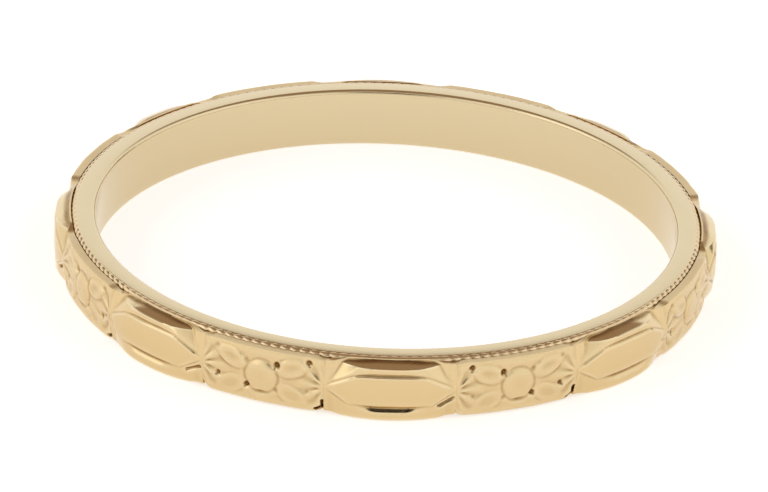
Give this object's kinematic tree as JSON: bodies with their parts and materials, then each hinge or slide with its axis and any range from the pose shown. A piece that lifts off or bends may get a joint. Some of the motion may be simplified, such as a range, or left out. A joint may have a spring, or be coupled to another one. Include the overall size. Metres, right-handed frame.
{
  "type": "wedding band",
  "caption": "Narrow yellow gold wedding band with a milgrain edge and an applied border of raised pointed bars and struck blossoms.",
  "frame": {"origin": "centre of the finger axis at the lower side face, where the band lies flat on a table", "axes": "+Z along the finger axis; -Y through the middle of bar plaque 1; +X to the right of it"},
  "size_m": [0.0188, 0.0188, 0.0018],
  "materials": {
    "liner_gold": "polished",
    "milgrain_gold": "satin",
    "bar_gold": "polished",
    "blossom_gold": "satin"
  },
  "bodies": {
    "root": {"band_liner": "liner_gold", "milgrain_wire_upper": "milgrain_gold", "milgrain_wire_lower": "milgrain_gold", "bar_plaque_1": "bar_gold", "bar_plaque_2": "bar_gold", "bar_plaque_3": "bar_gold", "bar_plaque_4": "bar_gold", "bar_plaque_5": "bar_gold", "bar_plaque_6": "bar_gold", "bar_plaque_7": "bar_gold", "bar_plaque_8": "bar_gold", "blossom_plaque_1": "blossom_gold", "blossom_plaque_2": "blossom_gold", "blossom_plaque_3": "blossom_gold", "blossom_plaque_4": "blossom_gold", "blossom_plaque_5": "blossom_gold", "blossom_plaque_6": "blossom_gold", "blossom_plaque_7": "blossom_gold", "blossom_plaque_8": "blossom_gold"}
  },
  "joints": []
}
